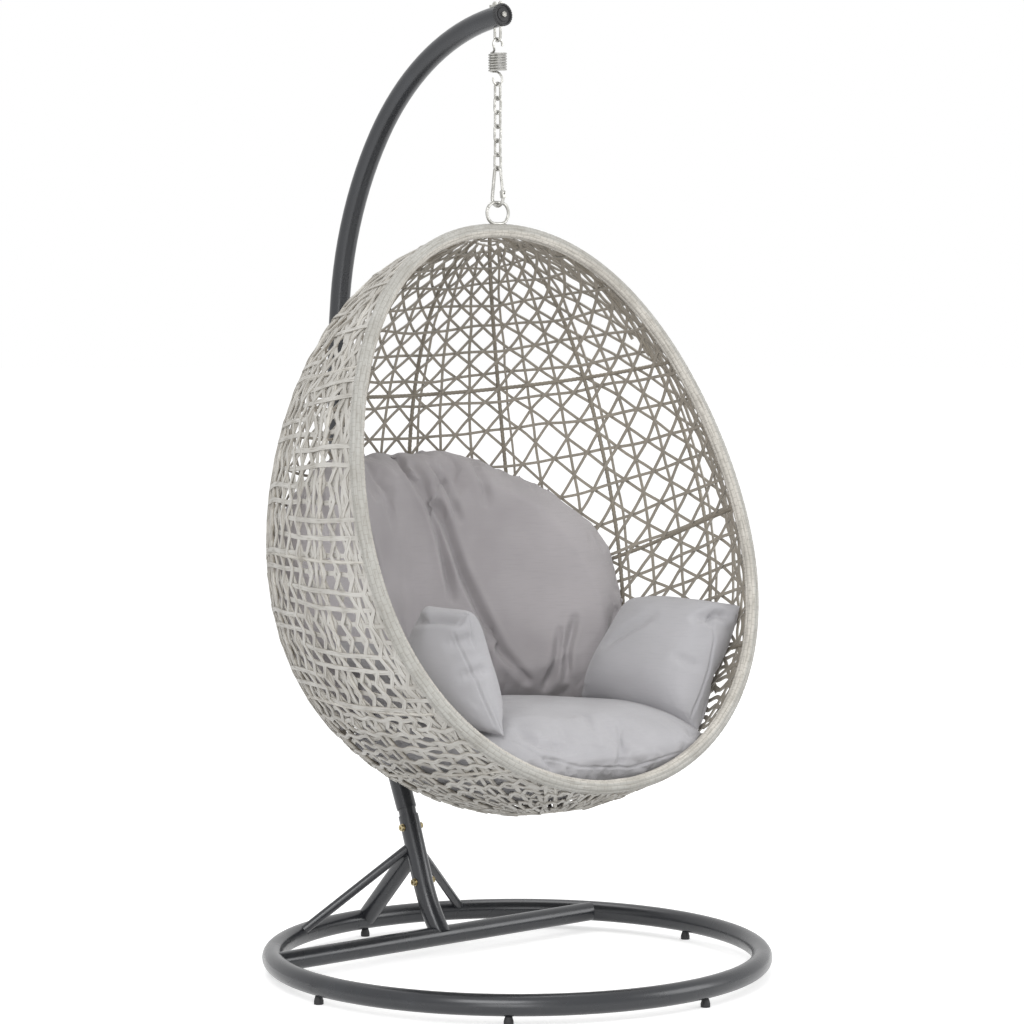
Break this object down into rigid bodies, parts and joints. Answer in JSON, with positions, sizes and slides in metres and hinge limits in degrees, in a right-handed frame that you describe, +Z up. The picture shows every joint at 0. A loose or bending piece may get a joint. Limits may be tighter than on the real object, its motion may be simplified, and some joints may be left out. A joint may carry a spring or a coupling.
{
  "type": "hanging egg chair",
  "caption": "Woven egg-shaped hanging basket seat with cushions, slung by a spring, chain and snap hook from a curved arm on a floor ring.",
  "frame": {"origin": "centre of the bounding box in plan, at the floor under the glides", "axes": "+Z up along the tallest extent; the sitter faces -Y; +Y is behind, where the arm rises; +X is the sitter's left"},
  "size_m": [1.0346, 1.1229, 1.9565],
  "materials": {
    "powder_coat": "satin",
    "black_plastic": "matte",
    "yellow_zinc": "satin",
    "zinc": "satin",
    "mouth_tube": "matte",
    "rattan": "matte",
    "rattan_frame": "matte",
    "cushion_fabric": "matte"
  },
  "bodies": {
    "stand": {"base_ring": "powder_coat", "cross_tube": "powder_coat", "front_leg": "powder_coat", "rear_leg": "powder_coat", "brace_left": "powder_coat", "brace_right": "powder_coat", "feet": "black_plastic", "arm": "powder_coat", "arm_spigot": "powder_coat", "leg_bolts": "yellow_zinc", "leg_nuts": "yellow_zinc", "arm_end_cap": "black_plastic", "hanger_loop": "zinc", "hanger_saddle": "zinc", "hanger_nuts": "zinc"},
    "hanger_spring": {"spring": "zinc"},
    "link_1": {"chain_link_1": "zinc"},
    "link_2": {"chain_link_2": "zinc"},
    "link_3": {"chain_link_3": "zinc"},
    "link_4": {"chain_link_4": "zinc"},
    "link_5": {"chain_link_5": "zinc"},
    "link_6": {"chain_link_6": "zinc"},
    "hook": {"snap_hook": "zinc", "gate_pin": "zinc"},
    "gate": {"snap_gate": "zinc"},
    "basket": {"basket_ring": "zinc", "rim_tube": "mouth_tube", "crown_hoop": "rattan_frame", "hoop_1": "rattan_frame", "hoop_2": "rattan_frame", "hoop_3": "rattan_frame", "hoop_4": "rattan_frame", "base_hoop": "rattan_frame", "rib_back": "rattan_frame", "rib_left_1": "rattan_frame", "rib_left_2": "rattan_frame", "rib_left_3": "rattan_frame", "rib_right_1": "rattan_frame", "rib_right_2": "rattan_frame", "rib_right_3": "rattan_frame", "ribs_front": "rattan_frame", "weave_row_1": "rattan", "weave_row_2": "rattan", "weave_row_3": "rattan", "weave_row_4": "rattan", "weave_row_5": "rattan", "weave_sides": "rattan", "weave_front": "rattan", "base_disc": "rattan", "seat_cushion": "cushion_fabric", "back_cushion": "cushion_fabric", "arm_pillow_left": "cushion_fabric", "arm_pillow_right": "cushion_fabric"}
  },
  "joints": [
    {"name": "spring_swing", "type": "hinge", "parent": "stand", "child": "hanger_spring", "pos_m": [0, 0.01444, 1.87731], "axis": [0, 1, 0], "range_deg": [-8, 8]},
    {"name": "spring_stretch", "type": "slide", "parent": "hanger_spring", "child": "link_1", "axis": [0, 0, 1], "range_m": [-0.03, 0.004], "stiffness_N_per_m": 20000, "springref_m": 0.02129, "deforming": ["spring"]},
    {"name": "link_2_swing", "type": "hinge", "parent": "link_1", "child": "link_2", "pos_m": [0, 0.01444, 1.7605], "axis": [0, 1, 0], "range_deg": [-8, 8]},
    {"name": "link_3_swing", "type": "hinge", "parent": "link_2", "child": "link_3", "pos_m": [0, 0.01444, 1.7323], "axis": [1, 0, 0], "range_deg": [-10, 1.4]},
    {"name": "link_4_swing", "type": "hinge", "parent": "link_3", "child": "link_4", "pos_m": [0, 0.01444, 1.7041], "axis": [0, 1, 0], "range_deg": [-8, 8]},
    {"name": "link_5_swing", "type": "hinge", "parent": "link_4", "child": "link_5", "pos_m": [0, 0.01444, 1.6759], "axis": [1, 0, 0], "range_deg": [-10, 0.7]},
    {"name": "link_6_swing", "type": "hinge", "parent": "link_5", "child": "link_6", "pos_m": [0, 0.01444, 1.6477], "axis": [0, 1, 0], "range_deg": [-8, 8]},
    {"name": "hook_swing", "type": "hinge", "parent": "link_6", "child": "hook", "pos_m": [0, 0.01444, 1.6195], "axis": [1, 0, 0], "range_deg": [-10, 0.7]},
    {"name": "gate_open", "type": "hinge", "parent": "hook", "child": "gate", "pos_m": [0, -0.00075, 1.57447], "axis": [-1, 0, 0], "range_deg": [0, 20], "stiffness_Nm_per_rad": 0.02, "springref_deg": -17.19},
    {"name": "basket_turn", "type": "hinge", "parent": "hook", "child": "basket", "pos_m": [0, 0.01444, 1.55475], "axis": [0, 0, 1], "range_deg": [-30, 30]}
  ]
}
